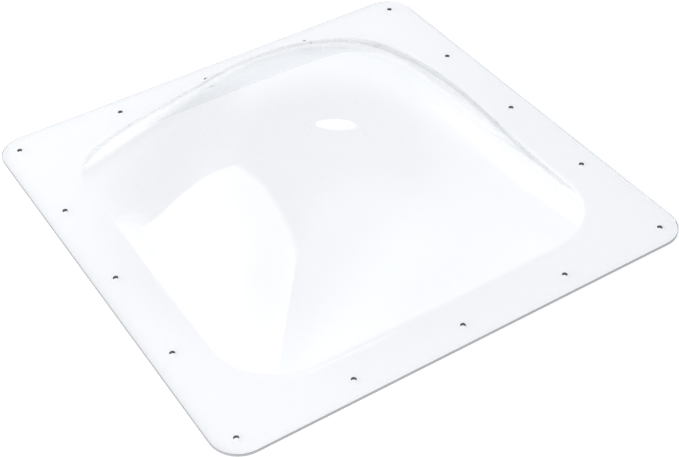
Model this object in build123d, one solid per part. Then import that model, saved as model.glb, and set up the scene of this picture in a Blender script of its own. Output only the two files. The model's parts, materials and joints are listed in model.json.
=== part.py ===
from build123d import *
import math
import os

# A square, clear dome cover for a roof vent or skylight opening. It is one thermoformed sheet:
# a flat flange with a ring of screw holes, and a blown dome that rises out of its middle.
# Millimetres. +Z is up, and the origin is the centre of the flange's underside.

# The flat sheet
SHEET = 3.0                 # thickness, kept by the flange and the foot of the dome
FLANGE_SIDE = 457.2         # 18 in, outside edge to outside edge
FLANGE_CORNER = 27.0        # radius of the flange's corners
EDGE_BREAK = 0.4            # chamfer that takes the sharpness off the cut edges

# The screw holes
HOLE_DIAMETER = 4.8
HOLE_SPAN = 419.1           # 16.5 in, between opposite rows of holes
HOLES_PER_SIDE = 5          # corner holes included
ODD_HOLE_SHIFT = -10.0      # the middle hole of the +Y side is drilled this far off its place, along X

# The dome
BASE_SIDE = 364.0           # the fold's outline on the flange's top face
BASE_CORNER = 62.0          # radius of that outline's corners
RISE = 115.0                # crown above the flange's top face
CROWN_WALL = 1.3            # the sheet thins as it is blown, and this keeps the volume of the flat blank
ROUND_SHARE = 0.36          # share of the fall that goes with the square of the distance, the rest with its cube
ROUNDING = 3.4              # how fast a level line turns from a circle at the crown to the base's outline
FOLD_RADIUS = 8.0           # inside the corner between flange and dome, on the top face

# The grid of points that a quarter of each of the dome's two surfaces passes through
GRID_REACH = 14.0           # how far it runs past the fold, so that the surfaces cut the flange
GRID_STEPS = 22
GRID_DEGREE = 5             # highest degree of the fitted surfaces
GRID_SMOOTHING = (1, 1, 1)  # equal weights on stretch, curvature and change of curvature
GRID_TOLERANCE = 0.02

HALF_BASE = BASE_SIDE / 2


def outline_reach(angle):
    """Distance from the centre to the base's outline, as a multiple of half its side."""
    along, across = sorted((abs(math.cos(angle)), abs(math.sin(angle))))
    corner = BASE_CORNER / HALF_BASE
    middle = 1 - corner
    if along / across <= middle:
        return 1 / across
    return middle * (along + across) + math.sqrt(corner**2 - (middle * (across - along)) ** 2)


def spread(x, y):
    """0 at the crown and 1 on the base's outline, with smooth level lines between."""
    distance = math.hypot(x, y) / HALF_BASE
    if distance == 0:
        return 0.0
    excess = outline_reach(math.atan2(y, x)) - 1
    value = distance / (1 + excess * min(distance, 1.0) ** ROUNDING)
    for _ in range(12):
        error = value * (1 + excess * value**ROUNDING) - distance
        value -= error / (1 + excess * (ROUNDING + 1) * value**ROUNDING)
    return value


def dome_height(x, y):
    """Height of the dome's outer surface, carried on below the flange outside the fold."""
    out = spread(x, y)
    return SHEET + RISE * (1 - ROUND_SHARE * out**2 - (1 - ROUND_SHARE) * out**3)


def wall_thickness(x, y):
    """Full sheet at the foot, thinnest at the crown."""
    return CROWN_WALL + (SHEET - CROWN_WALL) * min(spread(x, y), 1.0) ** 2


def outer_point(x, y):
    return Vector(x, y, dome_height(x, y))


def inner_point(x, y):
    """The point of the inner surface straight under the skin, one wall thickness in."""
    step = 0.01
    slope_x = (dome_height(x + step, y) - dome_height(x - step, y)) / (2 * step)
    slope_y = (dome_height(x, y + step) - dome_height(x, y - step)) / (2 * step)
    outward = Vector(-slope_x, -slope_y, 1).normalized()
    return outer_point(x, y) - outward * wall_thickness(x, y)


def quadrant(side, height):
    """A box over the quarter where X and Y are both positive, standing on the flange's underside."""
    return Box(side, side, height, align=(Align.MIN, Align.MIN, Align.MIN))


def bump(point):
    """A quarter of the solid between the plane of the flange's underside and a dome surface."""
    reach = HALF_BASE + GRID_REACH
    ticks = [reach * i / GRID_STEPS for i in range(GRID_STEPS + 1)]
    grid = [[point(x, y) for y in ticks] for x in ticks]
    skin = Face.make_surface_from_array_of_points(
        grid, tol=GRID_TOLERANCE, smoothing=GRID_SMOOTHING, max_deg=GRID_DEGREE
    )
    depth = 4 * RISE
    return extrude(skin, amount=depth, dir=(0, 0, -1)) & quadrant(2 * reach, depth)


def flange():
    """A quarter of the flat plate, with its outside edges broken."""
    outline = RectangleRounded(FLANGE_SIDE, FLANGE_SIDE, FLANGE_CORNER)
    plate = extrude(outline, amount=SHEET)
    plate = chamfer(plate.faces().filter_by(Axis.Z).edges(), EDGE_BREAK)
    return plate & quadrant(FLANGE_SIDE, SHEET)


def round_fold(solid, height, radius):
    """Rounds the curved edge where the dome leaves the flat face at this height."""
    fold = [
        edge
        for edge in solid.edges()
        if edge.geom_type == GeomType.BSPLINE
        and max(abs(point.Z - height) for point in (edge @ 0, edge @ 0.5, edge @ 1)) < GRID_TOLERANCE
    ]
    return fillet(fold, radius)


def hole_places():
    """Centres of the screw holes, once round the flange."""
    half = HOLE_SPAN / 2
    pitch = HOLE_SPAN / (HOLES_PER_SIDE - 1)
    places = []
    for i in range(HOLES_PER_SIDE - 1):
        run = i * pitch - half
        places += [(run, -half), (half, run), (-run, half), (-half, -run)]
    middle = (0.0, half)
    return [(x + ODD_HOLE_SHIFT, y) if math.dist((x, y), middle) < 1 else (x, y) for x, y in places]


def dome_cover():
    quarter = round_fold(flange() + bump(outer_point), SHEET, FOLD_RADIUS)
    quarter = round_fold(quarter - bump(inner_point), 0, FOLD_RADIUS + SHEET)
    half = quarter + mirror(quarter, Plane.YZ)
    cover = half + mirror(half, Plane.XZ)
    drill = Cylinder(HOLE_DIAMETER / 2, 3 * SHEET)
    for x, y in hole_places():
        cover -= Pos(x, y, SHEET / 2) * drill
    return cover


os.makedirs("parts", exist_ok=True)
export_step(dome_cover(), "parts/dome_cover.step")
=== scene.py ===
import json
import math

import bpy
import numpy as np
from mathutils import Matrix, Vector
from mathutils.geometry import delaunay_2d_cdt


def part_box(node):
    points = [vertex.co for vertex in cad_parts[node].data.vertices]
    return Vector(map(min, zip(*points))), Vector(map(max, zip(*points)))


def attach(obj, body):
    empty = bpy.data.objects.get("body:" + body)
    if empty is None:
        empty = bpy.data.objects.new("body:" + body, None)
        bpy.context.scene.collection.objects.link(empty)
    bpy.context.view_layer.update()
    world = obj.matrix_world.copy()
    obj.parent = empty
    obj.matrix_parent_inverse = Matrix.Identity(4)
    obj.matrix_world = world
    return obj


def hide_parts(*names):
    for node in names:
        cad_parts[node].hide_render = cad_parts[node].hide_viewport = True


# A clear blown dome cover for a roof vent, on a white studio table. Metres, +Z up.

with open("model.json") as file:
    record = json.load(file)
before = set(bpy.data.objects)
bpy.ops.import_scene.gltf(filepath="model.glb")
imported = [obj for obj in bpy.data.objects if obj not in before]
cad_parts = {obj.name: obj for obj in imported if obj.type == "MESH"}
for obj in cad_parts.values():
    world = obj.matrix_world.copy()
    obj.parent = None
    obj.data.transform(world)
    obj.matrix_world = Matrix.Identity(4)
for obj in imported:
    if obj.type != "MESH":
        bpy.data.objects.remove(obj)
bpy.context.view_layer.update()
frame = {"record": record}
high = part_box("dome_cover")[1]
mounts = {mount["name"]: mount for mount in frame["record"]["mounts"]}

# The sheet, with the sizes that the CAD part has.
SHEET = 0.003
FLANGE_HALF = high[0]
FLANGE_CORNER = 0.027
EDGE_BREAK = 0.0004
HOLE_RADIUS = mounts["corner_screws"]["dims"]["hole_r_mm"] / 1000
HOLE_SPAN = mounts["corner_screws"]["dims"]["spacing_x_mm"] / 1000
HOLES_PER_SIDE = 5
ODD_HOLE_X = mounts["back_off_pitch_screw"]["pos_m"][0]

# The dome. Its height falls from the crown with the distance from the middle, and that distance is
# measured by a gauge that is round at the crown and a rounded square at the foot.
HALF_BASE = 0.182
BASE_CORNER = 0.062
RISE = high[2] - SHEET
CROWN_WALL = 0.0013
ROUND_SHARE = 0.36
ROUNDING = 3.4
FOLD_RADIUS = 0.008

# How finely the mesh follows those shapes.
COLUMNS = 320
DOME_RINGS = 92
FOLD_RINGS = 10
CORNER_STEPS = 20
HOLE_STEPS = 40
FLANGE_PITCH = 0.009
WELD_PITCH = 1e-9
CREASE = 0.02                   # how far apart two normals are at a sharp edge

# How the shapes' equations are solved.
GAUGE_ROUNDS = 12
FOLD_ROUNDS = 40
FOLD_SEARCH_START = 0.6         # of half the foot's side
OUTER_SLOPE_STEP = 2e-5
INNER_SLOPE_STEP = 1e-4

# The plastic.
CLEAR, CUT, DRILLED = 0, 1, 2   # material slots
REFRACTION = 1.585
SHEET_TINT = (0.967, 0.970, 0.976, 1)
SHADOW_TINT = (0.96, 0.962, 0.966, 1)
BODY_TINT = (0.64, 0.66, 0.70, 1)
BODY_DENSITY = 2.5
FILM_TINT = (0.85, 0.85, 0.84, 1)
# painted shade: the cut edges' grey stands in for the dark look into the sheet edge-on; their matt
# finish is real
EDGE_SHADE_GREY = 0.42
# painted shade: the hole walls' near-black grey stands in for the dark look into the sheet edge-on
HOLE_SHADE_GREY = 0.10
GRAIN_TURN = 24                 # degrees, the direction of the hairline scratches
EVEN = (1, 1, 1)                # stretch of a noise that is the same along all axes
SHEET_BOUNCES = 400             # light turns many times in a clear sheet before it leaves by the edge

# The table. Its glow paints a pool of light from the key light, and a painted shade under the dome
# stands in for the light that the dome's walls turn away; both are given from the -X side's far end to
# its near end. A painted shade makes it dimmer far behind the cover.
TABLE_HALF = 6.0
TABLE_DROP = 0.0005
GLOW_DIRECTION = (-1, 0.3, 0)
FLOOR_TINT = (0.987, 0.992, 1, 1)
FLOOR_GLOW = (0.612, 0.672)
GLOW_REACH = 0.5
# painted shade on the table under the dome, at the -X side's far and near ends
PAINTED_DOME_SHADE = (0.03, 0.17)
DOME_SHADE_REACH = 0.2
UNDER_DOME_FULL, UNDER_DOME_END = 0.13, 0.25
TABLE_WHITE = 0.6
TABLE_END_AZIMUTH = 125
# painted shade: the table's glow and its white both fall off far behind the cover
TABLE_FULL, TABLE_END, TABLE_FAR = 0.40, 0.85, 0.85

# The dim room and its white sweep, which fades between two elevations in degrees.
ROOM_TINT = (0.93, 0.96, 1.0, 1)
ROOM = 0.26
SWEEP = 0.92
SWEEP_FULL, SWEEP_END = 24, 55
# Soft glows in it: azimuth, elevation, full radius and fading radius in degrees, radiance.
GLOWS = [
    (270, 46, 12, 42, 0.42),
    (12, 6, 8, 26, 0.20),
    (110, 10, 14, 34, -0.42),
]

# The camera.
AIM = Vector((-0.0198, -0.0545, SHEET))
CAMERA_AZIMUTH, CAMERA_ELEVATION, CAMERA_ROLL = 239.37, 41.73, -2.53
CAMERA_DISTANCE = 1.2173
SENSOR_WIDTH, FOCAL_LENGTH = 36, 73.99


# ---------------------------------------------------------------- the dome's surface

def outline_reach(angle):
    """How far the foot's outline is from the middle, as a multiple of its half side."""
    along = np.minimum(np.abs(np.cos(angle)), np.abs(np.sin(angle)))
    across = np.maximum(np.abs(np.cos(angle)), np.abs(np.sin(angle)))
    corner = BASE_CORNER / HALF_BASE
    middle = 1 - corner
    bend = np.sqrt(np.maximum(corner**2 - (middle * (across - along)) ** 2, 0))
    return np.where(along / across <= middle, 1 / across, middle * (along + across) + bend)


def spread(x, y):
    """The gauge: 0 at the crown, 1 on the foot's outline."""
    distance = np.hypot(x, y) / HALF_BASE
    excess = outline_reach(np.arctan2(y, x)) - 1
    share = distance / (1 + excess * np.minimum(distance, 1) ** ROUNDING)
    for _ in range(GAUGE_ROUNDS):
        error = share * (1 + excess * share**ROUNDING) - distance
        share = share - error / (1 + excess * (ROUNDING + 1) * share**ROUNDING)
    return share


def outer_height(x, y):
    share = spread(x, y)
    return SHEET + RISE * (1 - ROUND_SHARE * share**2 - (1 - ROUND_SHARE) * share**3)


def unit(vectors):
    return vectors / np.linalg.norm(vectors, axis=-1, keepdims=True)


def outer_skin(x, y):
    """Points of the dome's outside, and their outward normals."""
    step = OUTER_SLOPE_STEP
    slope_x = (outer_height(x + step, y) - outer_height(x - step, y)) / (2 * step)
    slope_y = (outer_height(x, y + step) - outer_height(x, y - step)) / (2 * step)
    points = np.stack([x, y, outer_height(x, y)], axis=-1)
    return points, unit(np.stack([-slope_x, -slope_y, np.ones_like(slope_x)], axis=-1))


def wall_thickness(x, y):
    """A blown dome's wall is thinnest at its crown."""
    return CROWN_WALL + (SHEET - CROWN_WALL) * np.minimum(spread(x, y), 1) ** 2


def inner_points(x, y):
    points, normals = outer_skin(x, y)
    return points - wall_thickness(x, y)[..., None] * normals


def inner_skin(x, y):
    """Points of the dome's inside, and their normals, which point into the hollow."""
    step = INNER_SLOPE_STEP
    along_x = inner_points(x + step, y) - inner_points(x - step, y)
    along_y = inner_points(x, y + step) - inner_points(x, y - step)
    return inner_points(x, y), -unit(np.cross(along_x, along_y))


def fold_reach(angles):
    """How far out, in each direction, the fold's round stretch takes over from the dome."""
    near = np.full_like(angles, FOLD_SEARCH_START * HALF_BASE)
    far = HALF_BASE * outline_reach(angles)
    for _ in range(FOLD_ROUNDS):
        reach = (near + far) / 2
        points, normals = outer_skin(reach * np.cos(angles), reach * np.sin(angles))
        inside = points[:, 2] + FOLD_RADIUS * normals[:, 2] > SHEET + FOLD_RADIUS
        near = np.where(inside, reach, near)
        far = np.where(inside, far, reach)
    return (near + far) / 2


# ---------------------------------------------------------------- patches of faces

patches = []


def add_patch(corners, normals, material):
    """Keeps faces for the mesh. corners and normals have the shape (faces, corners per face, 3)."""
    patches.append((corners, np.broadcast_to(normals, corners.shape), material))


def quads(rows, inside_out):
    """The corners of a band's quads. Its rows are closed, so the last column meets the first."""
    after = np.roll(rows, -1, axis=1)
    corners = [rows[:-1], rows[1:], after[1:], after[:-1]]
    if inside_out:
        corners.reverse()
    return np.stack(corners, axis=2).reshape(-1, 4, 3)


def fan(middle, rim, inside_out):
    """The corners of the triangles between a point and a closed rim."""
    corners = [np.broadcast_to(middle, rim.shape), rim, np.roll(rim, -1, axis=0)]
    if inside_out:
        corners.reverse()
    return np.stack(corners, axis=1)


def add_grid(points, normals, material, inside_out):
    add_patch(quads(points, inside_out), quads(normals, inside_out), material)


def ring_at(loop, height):
    return np.column_stack([loop, np.full(len(loop), height)])


def upright(inside_out):
    """The level faces' normal: up on the outside of the sheet, down on its inside."""
    return np.array([0, 0, -1.0 if inside_out else 1.0])


def add_dome_side(skin, arc_radius, inside_out):
    """One side of the dome with its fold. Returns the loop where the fold meets the flat flange."""
    angles = np.linspace(0, 2 * math.pi, COLUMNS, endpoint=False)
    steps = (np.arange(DOME_RINGS) + 1) / DOME_RINGS
    distance = steps[:, None] * fold_reach(angles)[None, :]
    points, normals = skin(distance * np.cos(angles), distance * np.sin(angles))
    add_grid(points, normals, CLEAR, inside_out)
    crown = skin(np.zeros(1), np.zeros(1))[0][0]
    add_patch(fan(crown, points[0], inside_out), fan(upright(inside_out), normals[0], inside_out), CLEAR)

    facing = -normals[-1] if inside_out else normals[-1]
    centres = points[-1] + arc_radius * facing
    flat = ring_at(centres[:, :2], 0.0 if inside_out else SHEET)
    start, end = -facing, unit(flat - centres)
    whole = np.arccos(np.clip((start * end).sum(axis=1), -1, 1))[:, None]
    arc_points, arc_normals = [points[-1]], [normals[-1]]
    for step in range(1, FOLD_RINGS + 1):
        part = whole * step / FOLD_RINGS
        spoke = (np.sin(whole - part) * start + np.sin(part) * end) / np.sin(whole)
        arc_points.append(flat if step == FOLD_RINGS else centres + arc_radius * spoke)
        arc_normals.append(spoke if inside_out else -spoke)
    add_grid(np.array(arc_points), np.array(arc_normals), CLEAR, inside_out)
    return flat[:, :2]


def hole_places():
    """The middles of the screw holes, evenly spaced round a square but for one."""
    pitch = HOLE_SPAN / (HOLES_PER_SIDE - 1)
    half = HOLE_SPAN / 2
    places = []
    for step in range(HOLES_PER_SIDE - 1):
        along = -half + step * pitch
        places += [(along, -half), (half, along), (-along, half), (-half, -along)]
    return [(ODD_HOLE_X, y) if math.isclose(x, 0, abs_tol=1e-6) and y > 0 else (x, y) for x, y in places]


def hole_loop(place, radius):
    turn = np.linspace(0, 2 * math.pi, HOLE_STEPS, endpoint=False)
    return np.column_stack([place[0] + radius * np.cos(turn), place[1] + radius * np.sin(turn)])


def flange_loop(half_side, corner):
    """A square with round corners, anticlockwise."""
    middle = half_side - corner
    loop = []
    for quarter, (side_x, side_y) in enumerate([(1, 1), (-1, 1), (-1, -1), (1, -1)]):
        turn = np.linspace(0, math.pi / 2, CORNER_STEPS + 1) + quarter * math.pi / 2
        loop.append(np.column_stack([side_x * middle + corner * np.cos(turn),
                                     side_y * middle + corner * np.sin(turn)]))
    return np.concatenate(loop)


def inner_spots(dome_loop, hole_loops):
    """Even spots over the flat flange, clear of its edge, the fold and the holes."""
    across = np.arange(-FLANGE_HALF + FLANGE_PITCH, FLANGE_HALF - FLANGE_PITCH / 2, FLANGE_PITCH)
    spots = np.array([(x, y) for x in across for y in across])
    room = FLANGE_PITCH / 2
    loop_angle = np.arctan2(dome_loop[:, 1], dome_loop[:, 0])
    order = np.argsort(loop_angle)
    dome_reach = np.interp(np.arctan2(spots[:, 1], spots[:, 0]), loop_angle[order],
                           np.hypot(dome_loop[:, 0], dome_loop[:, 1])[order], period=2 * math.pi)
    clear_of_dome = np.hypot(spots[:, 0], spots[:, 1]) >= dome_reach + room
    centres = np.array([loop.mean(axis=0) for loop in hole_loops])
    from_holes = np.linalg.norm(spots[:, None] - centres[None], axis=2)
    clear_of_holes = (from_holes >= HOLE_RADIUS + room).all(axis=1)
    past_corner = np.maximum(np.abs(spots) - (FLANGE_HALF - FLANGE_CORNER), 0)
    clear_of_edge = np.linalg.norm(past_corner, axis=1) < FLANGE_CORNER - room
    return spots[clear_of_dome & clear_of_holes & clear_of_edge]


def add_flat(outside, inside, holes, height, inside_out):
    """The flat flange between its edge, the fold and the screw holes."""
    loops = [outside, inside, *holes]
    spots = inner_spots(inside, holes)
    points = np.concatenate([*loops, spots])
    edges, start = [], 0
    for loop in loops:
        count = len(loop)
        edges += [(start + i, start + (i + 1) % count) for i in range(count)]
        start += count
    found = delaunay_2d_cdt([Vector(point) for point in points], edges, [], 1, 1e-7)
    source = np.array([origins[0] for origins in found[3]])
    triangles = source[np.array(found[2])]
    loop_of = np.concatenate([np.full(len(loop), number) for number, loop in enumerate(loops)]
                             + [np.full(len(spots), -1)])
    owner = loop_of[triangles]
    fills_opening = (owner[:, 0] > 0) & (owner[:, 0] == owner[:, 1]) & (owner[:, 0] == owner[:, 2])
    triangles = triangles[~fills_opening]
    if inside_out:
        triangles = triangles[:, ::-1]
    corners = np.concatenate([points[triangles], np.full((*triangles.shape, 1), height)], axis=2)
    add_patch(corners, upright(inside_out), CLEAR)


def mean_distance(loop):
    return np.linalg.norm(loop - loop.mean(axis=0), axis=1)


def add_wall(loops, heights, outward, material):
    """Bands between level loops, each with its own flat slope across the band."""
    for lower, upper, z_low, z_high in zip(loops, loops[1:], heights, heights[1:]):
        rows = np.stack([ring_at(upper, z_high), ring_at(lower, z_low)])
        along = np.roll(rows[1], -1, axis=0) - np.roll(rows[1], 1, axis=0)
        flat_out = unit(np.column_stack([along[:, 1], -along[:, 0], np.zeros(len(along))]))
        run = np.linalg.norm(upper - lower, axis=1)[:, None]
        lean = np.sign(mean_distance(lower) - mean_distance(upper))[:, None]
        normal = unit(flat_out * (z_high - z_low) + np.array([0, 0, 1.0]) * run * lean)
        if not outward:
            normal = -normal
        add_grid(rows, np.stack([normal, normal]), material, not outward)


def crease(mesh, normals):
    """Marks the edges where the faces on the two sides have different normals."""
    count = len(mesh.loops)
    corner_vertex, corner_edge = np.zeros(count, dtype=np.int32), np.zeros(count, dtype=np.int32)
    mesh.loops.foreach_get("vertex_index", corner_vertex)
    mesh.loops.foreach_get("edge_index", corner_edge)
    edge_ends = np.zeros(2 * len(mesh.edges), dtype=np.int32)
    mesh.edges.foreach_get("vertices", edge_ends)
    edge_start = edge_ends[::2][corner_edge]
    sizes = np.zeros(len(mesh.polygons), dtype=np.int32)
    mesh.polygons.foreach_get("loop_total", sizes)
    following = np.arange(count) + 1
    ends = np.cumsum(sizes)
    following[ends - 1] = ends - sizes
    at_start = np.where((corner_vertex == edge_start)[:, None], normals, normals[following])
    order = np.argsort(corner_edge, kind="stable").reshape(-1, 2)
    apart = np.linalg.norm(at_start[order[:, 0]] - at_start[order[:, 1]], axis=1)
    mesh.edges.foreach_set("use_edge_sharp", apart > CREASE)


def weld(name):
    """Joins the patches into one mesh that has their normals."""
    corners = np.concatenate([patch[0].reshape(-1, 3) for patch in patches])
    normals = np.concatenate([patch[1].reshape(-1, 3) for patch in patches])
    sizes = np.concatenate([np.full(len(patch[0]), patch[0].shape[1]) for patch in patches])
    slots = np.concatenate([np.full(len(patch[0]), patch[2]) for patch in patches])
    _, first, which = np.unique(np.round(corners / WELD_PITCH).astype(np.int64), axis=0,
                                return_index=True, return_inverse=True)
    which = which.reshape(-1)
    starts = np.concatenate([[0], np.cumsum(sizes)])
    faces = [which[start:end].tolist() for start, end in zip(starts, starts[1:])]
    mesh = bpy.data.meshes.new(name)
    mesh.from_pydata(corners[first].tolist(), [], faces)
    mesh.polygons.foreach_set("use_smooth", np.ones(len(faces), dtype=bool))
    mesh.polygons.foreach_set("material_index", slots.astype(np.int32))
    crease(mesh, normals)
    mesh.normals_split_custom_set(normals.tolist())
    mesh.update()
    return link(bpy.data.objects.new(name, mesh))


def link(thing):
    bpy.context.scene.collection.objects.link(thing)
    return thing


def build_cover():
    break_loop = flange_loop(FLANGE_HALF - EDGE_BREAK, FLANGE_CORNER - EDGE_BREAK)
    edge_loop = flange_loop(FLANGE_HALF, FLANGE_CORNER)
    holes = [hole_loop(place, HOLE_RADIUS) for place in hole_places()]
    fold_top = add_dome_side(outer_skin, FOLD_RADIUS, False)
    fold_bottom = add_dome_side(inner_skin, FOLD_RADIUS + SHEET, True)
    add_flat(break_loop, fold_top, holes, SHEET, False)
    add_flat(break_loop, fold_bottom, holes, 0.0, True)
    add_wall([break_loop, edge_loop, edge_loop, break_loop],
             [0.0, EDGE_BREAK, SHEET - EDGE_BREAK, SHEET], True, CUT)
    for loop in holes:
        add_wall([loop, loop], [0.0, SHEET], False, DRILLED)
    return weld("clear_dome_cover")


# ---------------------------------------------------------------- materials

def new_material(name):
    material = bpy.data.materials.new(name)
    material.use_nodes = True
    material.node_tree.nodes.clear()
    return material, material.node_tree


def fill(tree, socket, value):
    """Sets a socket to a number, or links another node's output to it."""
    if isinstance(value, (int, float)):
        socket.default_value = value
    else:
        tree.links.new(value, socket)


def add_ramp(tree, source, start, end, first, last):
    """A smooth change from first to last while the source goes from start to end."""
    ramp = tree.nodes.new("ShaderNodeMapRange")
    ramp.interpolation_type = "SMOOTHSTEP"
    for socket, value in (("Value", source), ("From Min", start), ("From Max", end),
                          ("To Min", first), ("To Max", last)):
        fill(tree, ramp.inputs[socket], value)
    return ramp.outputs["Result"]


def combine(tree, operation, one, other):
    node = tree.nodes.new("ShaderNodeMath")
    node.operation = operation
    fill(tree, node.inputs[0], one)
    fill(tree, node.inputs[1], other)
    return node.outputs[0]


def add_dot(tree, source, direction):
    """How far the source vector reaches along a direction."""
    dot = tree.nodes.new("ShaderNodeVectorMath")
    dot.operation = "DOT_PRODUCT"
    tree.links.new(source, dot.inputs[0])
    dot.inputs[1].default_value = direction
    return dot.outputs["Value"]


def add_noise(tree, stretch, scale, detail=2.0):
    """Noise over the piece, drawn out along an axis where its stretch is small."""
    mapping = tree.nodes.new("ShaderNodeMapping")
    tree.links.new(tree.nodes.new("ShaderNodeTexCoord").outputs["Object"], mapping.inputs["Vector"])
    mapping.inputs["Scale"].default_value = stretch
    mapping.inputs["Rotation"].default_value = (0, 0, math.radians(GRAIN_TURN))
    noise = tree.nodes.new("ShaderNodeTexNoise")
    tree.links.new(mapping.outputs[0], noise.inputs["Vector"])
    noise.inputs["Scale"].default_value = scale
    noise.inputs["Detail"].default_value = detail
    return noise.outputs[0]


def add_bump(tree, height, depth):
    bump = tree.nodes.new("ShaderNodeBump")
    bump.inputs["Distance"].default_value = depth
    tree.links.new(height, bump.inputs["Height"])
    return bump.outputs[0]


def add_mix(tree, factor, first, second):
    mix = tree.nodes.new("ShaderNodeMixShader")
    for socket, source in zip(mix.inputs, (factor, first, second)):
        tree.links.new(source, socket)
    return mix.outputs[0]


def add_sheet(tree, bump):
    """The glassy body of the plastic."""
    sheet = tree.nodes.new("ShaderNodeBsdfPrincipled")
    sheet.inputs["Base Color"].default_value = SHEET_TINT
    sheet.inputs["Transmission Weight"].default_value = 1.0
    sheet.inputs["Roughness"].default_value = 0.0
    sheet.inputs["IOR"].default_value = REFRACTION
    tree.links.new(bump, sheet.inputs["Normal"])
    return sheet.outputs[0]


def finish_plastic(tree, shown):
    """Lets soft light through to the table, and gives the plastic's inside its faint tint."""
    through = tree.nodes.new("ShaderNodeBsdfTransparent")
    through.inputs["Color"].default_value = SHADOW_TINT
    light_path = tree.nodes.new("ShaderNodeLightPath")
    for ray in ("Is Diffuse Ray", "Is Shadow Ray"):
        shown = add_mix(tree, light_path.outputs[ray], shown, through.outputs[0])
    out = tree.nodes.new("ShaderNodeOutputMaterial")
    tree.links.new(shown, out.inputs["Surface"])
    body = tree.nodes.new("ShaderNodeVolumeAbsorption")
    body.inputs["Color"].default_value = BODY_TINT
    body.inputs["Density"].default_value = BODY_DENSITY
    tree.links.new(body.outputs[0], out.inputs["Volume"])


def clear_plastic():
    """Clear glossy sheet, a little wavy from forming, with faint dust and hairline scratches."""
    material, tree = new_material("clear_plastic")
    sheet = add_sheet(tree, add_bump(tree, add_noise(tree, EVEN, 11), 0.00012))
    dust = add_ramp(tree, add_noise(tree, EVEN, 750), 0.70, 0.78, 0, 0.10)
    hairs = add_ramp(tree, add_noise(tree, (1, 0.03, 1), 420, 0.0), 0.76, 0.82, 0, 0.03)
    film = tree.nodes.new("ShaderNodeBsdfDiffuse")
    film.inputs["Color"].default_value = FILM_TINT
    finish_plastic(tree, add_mix(tree, combine(tree, "ADD", dust, hairs), sheet, film.outputs[0]))
    return material


def cut_plastic(name, shade_grey):
    """A cut face: matt from outside, with a grey that is painted shade for the dark look into the
    sheet's edge, and a mirror to the light inside the sheet.
    """
    material, tree = new_material(name)
    marks = add_noise(tree, (1, 1, 0.06), 1400)
    sheet = add_sheet(tree, add_bump(tree, marks, 0.00001))
    cut = tree.nodes.new("ShaderNodeBsdfPrincipled")
    # painted shade: this grey stands in for the darkness seen into the sheet's edge
    cut.inputs["Base Color"].default_value = (shade_grey, shade_grey, shade_grey * 1.02, 1)
    cut.inputs["Roughness"].default_value = 0.55
    tree.links.new(add_bump(tree, marks, 0.00006), cut.inputs["Normal"])
    inside = tree.nodes.new("ShaderNodeNewGeometry").outputs["Backfacing"]
    finish_plastic(tree, add_mix(tree, inside, cut.outputs[0], sheet))
    return material


def studio_white():
    """The white table, whose glow paints light and shade: a painted pool of light on the key light's
    side, painted shade under the dome and far behind it.
    """
    material, tree = new_material("studio_white")
    out = tree.nodes.new("ShaderNodeOutputMaterial")
    paint = tree.nodes.new("ShaderNodeBsdfPrincipled")
    paint.inputs["Roughness"].default_value = 0.9
    paint.inputs["Specular IOR Level"].default_value = 0.0
    paint.inputs["Emission Color"].default_value = FLOOR_TINT
    place = tree.nodes.new("ShaderNodeTexCoord").outputs["Object"]
    across = add_dot(tree, place, GLOW_DIRECTION)
    behind = add_dot(tree, place, towards(TABLE_END_AZIMUTH, 0))
    distance = tree.nodes.new("ShaderNodeVectorMath")
    distance.operation = "LENGTH"
    tree.links.new(place, distance.inputs[0])
    # painted light: the table's glow grows towards the key light's side
    glow = add_ramp(tree, across, -GLOW_REACH, GLOW_REACH, *FLOOR_GLOW)
    # painted shade under the dome, standing in for the light that its walls turn away
    painted_shade = add_ramp(tree, across, -DOME_SHADE_REACH, DOME_SHADE_REACH, *PAINTED_DOME_SHADE)
    under_dome = add_ramp(tree, distance.outputs["Value"], UNDER_DOME_FULL, UNDER_DOME_END, -1, 0)
    kept = combine(tree, "ADD", combine(tree, "MULTIPLY", painted_shade, under_dome), 1)
    # painted shade: the glow falls off far behind the cover
    near = add_ramp(tree, behind, TABLE_FULL, TABLE_END, 1, TABLE_FAR)
    strength = combine(tree, "MULTIPLY", combine(tree, "MULTIPLY", glow, kept), near)
    tree.links.new(strength, paint.inputs["Emission Strength"])
    # painted shade: the white darkens far behind the cover
    white = tree.nodes.new("ShaderNodeCombineColor")
    for channel in white.inputs:
        level = add_ramp(tree, behind, TABLE_FULL, TABLE_END, TABLE_WHITE, TABLE_WHITE * TABLE_FAR)
        tree.links.new(level, channel)
    tree.links.new(white.outputs[0], paint.inputs["Base Color"])
    tree.links.new(paint.outputs[0], out.inputs["Surface"])
    return material


# ---------------------------------------------------------------- studio

def towards(azimuth, elevation):
    """The unit vector that points away from the cover, from a compass direction and an elevation."""
    turn, lift = math.radians(azimuth), math.radians(elevation)
    return Vector((math.cos(turn) * math.cos(lift), math.sin(turn) * math.cos(lift), math.sin(lift)))


def add_table():
    mesh = bpy.data.meshes.new("floor")
    corners = [(-1, -1), (1, -1), (1, 1), (-1, 1)]
    mesh.from_pydata([(x * TABLE_HALF, y * TABLE_HALF, 0) for x, y in corners], [], [(0, 1, 2, 3)])
    floor = link(bpy.data.objects.new("floor", mesh))
    floor.location.z = -TABLE_DROP
    floor.data.materials.append(studio_white())


def add_light(name, shape, width, depth, area, radiance, place, out):
    """A soft light of even radiance that shines against the direction out."""
    lamp = bpy.data.lights.new(name, "AREA")
    lamp.shape = shape
    lamp.size = width
    lamp.size_y = depth
    lamp.energy = radiance * math.pi * area
    light = link(bpy.data.objects.new(name, lamp))
    light.matrix_world = Matrix.Translation(place) @ out.to_track_quat("Z", "Y").to_matrix().to_4x4()


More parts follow.
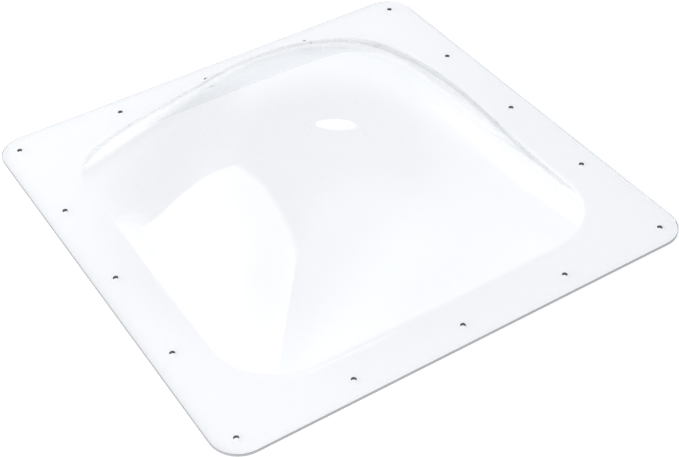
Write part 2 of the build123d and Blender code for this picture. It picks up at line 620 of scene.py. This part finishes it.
def add_panel(name, azimuth, distance, side, low_edge, high_edge, width, radiance):
    """An upright panel that faces the cover, shifted along itself by side."""
    out = towards(azimuth, 0)
    place = out * distance + towards(azimuth + 90, 0) * side
    place.z = (low_edge + high_edge) / 2
    height = high_edge - low_edge
    add_light(name, "RECTANGLE", width, height, width * height, radiance, place, out)


def add_disc(name, azimuth, elevation, distance, width, depth, radiance):
    out = towards(azimuth, elevation)
    area = width * depth * math.pi / 4
    add_light(name, "ELLIPSE", width, depth, area, radiance, out * distance, out)


def add_world():
    """A dim room with a white sweep round the table and a few soft glows from bounced light."""
    world = bpy.data.worlds.new("studio")
    world.use_nodes = True
    tree = world.node_tree
    background = tree.nodes["Background"]
    background.inputs["Color"].default_value = ROOM_TINT
    looking = tree.nodes.new("ShaderNodeTexCoord").outputs["Generated"]
    start, end = (math.sin(math.radians(elevation)) for elevation in (SWEEP_FULL, SWEEP_END))
    total = add_ramp(tree, add_dot(tree, looking, (0, 0, 1)), start, end, SWEEP, ROOM)
    for azimuth, elevation, full, faded, strength in GLOWS:
        near = add_dot(tree, looking, towards(azimuth, elevation))
        start, end = math.cos(math.radians(faded)), math.cos(math.radians(full))
        total = combine(tree, "ADD", total, add_ramp(tree, near, start, end, 0, strength))
    tree.links.new(total, background.inputs["Strength"])
    bpy.context.scene.world = world


def add_camera():
    camera = link(bpy.data.objects.new("camera", bpy.data.cameras.new("camera")))
    camera.data.sensor_width = SENSOR_WIDTH
    camera.data.lens = FOCAL_LENGTH
    camera.data.clip_start = 0.01
    camera.data.clip_end = 50
    away = towards(CAMERA_AZIMUTH, CAMERA_ELEVATION)
    roll = Matrix.Rotation(math.radians(CAMERA_ROLL), 4, "Z")
    look = away.to_track_quat("Z", "Y").to_matrix().to_4x4() @ roll
    camera.matrix_world = Matrix.Translation(AIM + away * CAMERA_DISTANCE) @ look
    bpy.context.scene.camera = camera


cover = build_cover()
cover.data.materials.append(clear_plastic())
cover.data.materials.append(cut_plastic("routed_edge", EDGE_SHADE_GREY))
# the hole walls' grey is painted shade
cover.data.materials.append(cut_plastic("drilled_hole", HOLE_SHADE_GREY))
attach(cover, "root")
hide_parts("dome_cover")

add_table()
add_world()
add_panel("key_panel", 197, 0.95, -0.55, 0.0, 2.05, 2.4, 0.95)
add_disc("hair_light", 47, 66, 1.6, 0.42, 0.2, 2.0)
add_panel("side_strip", 8, 2.0, -0.07, 0.25, 0.83, 1.14, 0.5)
add_camera()

scene = bpy.context.scene
scene.view_settings.view_transform = "Standard"
scene.view_settings.look = "None"
scene.cycles.max_bounces = SHEET_BOUNCES
scene.cycles.glossy_bounces = SHEET_BOUNCES
scene.cycles.transmission_bounces = SHEET_BOUNCES
